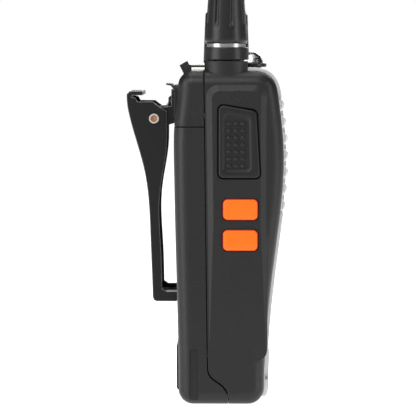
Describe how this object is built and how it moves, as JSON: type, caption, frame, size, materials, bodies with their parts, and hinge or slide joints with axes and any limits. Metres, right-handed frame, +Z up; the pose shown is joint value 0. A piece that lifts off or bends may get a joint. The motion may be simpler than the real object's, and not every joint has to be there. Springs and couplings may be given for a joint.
{
  "type": "portable radio",
  "caption": "Handheld two-way radio: black case with ribbed silver front trim, screw-on antenna, talk key, orange side keys, top knobs, battery and belt clip.",
  "frame": {"origin": "on the base that the radio stands on, on the antenna axis's plane in Y and midway across the case in X", "axes": "+Z up along the antenna, -Y the front with the speaker, +Y the back with the belt clip, -X the talk-key side"},
  "size_m": [0.0597, 0.0476, 0.2346],
  "materials": {
    "case_black": "fine moulded grain",
    "battery_black": "fine moulded grain",
    "seal_rubber": "soft matt",
    "trim_silver": "satin silver paint",
    "grille_black": "smooth matt",
    "badge_satin": "brushed, blank",
    "dust_cloth": "fine woven",
    "speaker_steel": "semi-gloss",
    "light_guide": "clear, frosted",
    "tinned_steel": "bright",
    "talk_rubber": "satin",
    "key_orange": "satin",
    "membrane_silicone": "translucent grey",
    "board_green": "solder mask",
    "switch_black": "smooth",
    "shaft_alloy": "turned",
    "knob_black": "semi-gloss with grip flutes",
    "torch_black": "satin",
    "torch_clear": "clear, polished",
    "led_white": "clear epoxy",
    "socket_brass": "turned",
    "antenna_rubber": "satin",
    "spring_steel": "drawn wire",
    "bright_steel": "plated",
    "clip_black": "satin black powder coat",
    "pin_steel": "oiled, slightly coppery",
    "screw_black": "black oxide",
    "cell_can": "satin",
    "contact_gold": "gold-plated",
    "label_grey": "printed film, blank",
    "latch_black": "smooth with finger ridges",
    "socket_plated": "nickel-plated",
    "cover_rubber": "soft matt",
    "chassis_alloy": "die-cast"
  },
  "bodies": {
    "radio": {"front_housing": "case_black", "rear_frame": "case_black", "housing_seal": "seal_rubber", "front_trim": "trim_silver", "grille_panel": "grille_black", "lower_panel": "grille_black", "blank_badge": "badge_satin", "grille_cloth": "dust_cloth", "speaker": "speaker_steel", "speaker_gasket": "seal_rubber", "status_light": "light_guide", "mic_capsule": "tinned_steel", "mic_boot": "seal_rubber", "key_membrane": "membrane_silicone", "side_board": "board_green", "side_switches": "switch_black", "channel_switch": "switch_black", "channel_nut": "tinned_steel", "volume_switch": "switch_black", "volume_nut": "tinned_steel", "torch_ring": "torch_black", "torch_lens": "torch_clear", "torch_led": "led_white", "antenna_jack": "socket_brass", "lanyard_pin": "bright_steel", "clip_bracket": "clip_black", "clip_pin": "pin_steel", "clip_spring": "spring_steel", "clip_screws": "screw_black", "jack_block": "switch_black", "jack_sleeves": "socket_plated", "cover_strap": "cover_rubber", "chassis": "chassis_alloy", "main_board": "board_green", "board_screws": "bright_steel", "shield_can": "tinned_steel", "frame_screws": "bright_steel", "radio_terminals": "contact_gold"},
    "talk_key": {"talk_key": "talk_rubber"},
    "upper_key": {"upper_side_key": "key_orange"},
    "lower_key": {"lower_side_key": "key_orange"},
    "channel_control": {"channel_shaft": "shaft_alloy", "channel_knob": "knob_black"},
    "volume_control": {"volume_shaft": "shaft_alloy", "volume_knob": "knob_black"},
    "antenna_ring": {"antenna_collar": "antenna_rubber"},
    "antenna": {"antenna_insert": "socket_brass", "antenna_sleeve": "antenna_rubber", "antenna_core": "spring_steel"},
    "belt_clip": {"clip_lever": "clip_black"},
    "battery": {"battery_shell": "battery_black", "battery_lid": "battery_black", "battery_cell": "cell_can", "battery_board": "board_green", "battery_terminals": "contact_gold", "battery_label": "label_grey", "charge_contacts": "contact_gold"},
    "latch": {"battery_latch": "latch_black"},
    "jack_cover": {"jack_cover": "cover_rubber"}
  },
  "joints": [
    {"name": "talk_press", "type": "slide", "parent": "radio", "child": "talk_key", "axis": [1, 0, 0], "range_m": [0, 0.001], "stiffness_N_per_m": 3000, "springref_m": -0.0003, "deforming": ["key_membrane"]},
    {"name": "upper_key_press", "type": "slide", "parent": "radio", "child": "upper_key", "axis": [1, 0, 0], "range_m": [0, 0.0007], "stiffness_N_per_m": 2500, "springref_m": -0.0003, "deforming": ["key_membrane"]},
    {"name": "lower_key_press", "type": "slide", "parent": "radio", "child": "lower_key", "axis": [1, 0, 0], "range_m": [0, 0.0007], "stiffness_N_per_m": 2500, "springref_m": -0.0003, "deforming": ["key_membrane"]},
    {"name": "channel_turn", "type": "hinge", "parent": "radio", "child": "channel_control", "pos_m": [0.004, 0, 0.1], "axis": [0, 0, -1], "range_deg": [0, 337.5]},
    {"name": "volume_turn", "type": "hinge", "parent": "radio", "child": "volume_control", "pos_m": [0.02, 0, 0.1], "axis": [0, 0, -1], "range_deg": [0, 280]},
    {"name": "antenna_lift", "type": "slide", "parent": "radio", "child": "antenna_ring", "axis": [0, 0, 1], "range_m": [0, 0.00353]},
    {"name": "antenna_turn", "type": "hinge", "parent": "antenna_ring", "child": "antenna", "pos_m": [-0.0205, 0, 0.1], "axis": [0, 0, 1], "range_deg": [0, 1800]},
    {"name": "clip_hinge", "type": "hinge", "parent": "radio", "child": "belt_clip", "pos_m": [0, 0.0215, 0.0829], "axis": [1, 0, 0], "range_deg": [0, 18], "stiffness_Nm_per_rad": 0.4, "springref_deg": -40.11, "deforming": ["clip_spring"]},
    {"name": "battery_slide", "type": "slide", "parent": "radio", "child": "battery", "axis": [0, 0, -1], "range_m": [0, 0.09]},
    {"name": "latch_slide", "type": "slide", "parent": "battery", "child": "latch", "axis": [0, 0, 1], "range_m": [0, 0.0025], "stiffness_N_per_m": 600, "springref_m": -0.002},
    {"name": "jack_cover_hinge", "type": "hinge", "parent": "radio", "child": "jack_cover", "pos_m": [0.02955, -0.0037, 0.08735], "axis": [0, -1, 0], "range_deg": [0, 110], "deforming": ["cover_strap"]}
  ],
  "couplings": [
    {"joint": "antenna_turn", "follows": "antenna_lift", "rad_per_m": 8904.7}
  ]
}
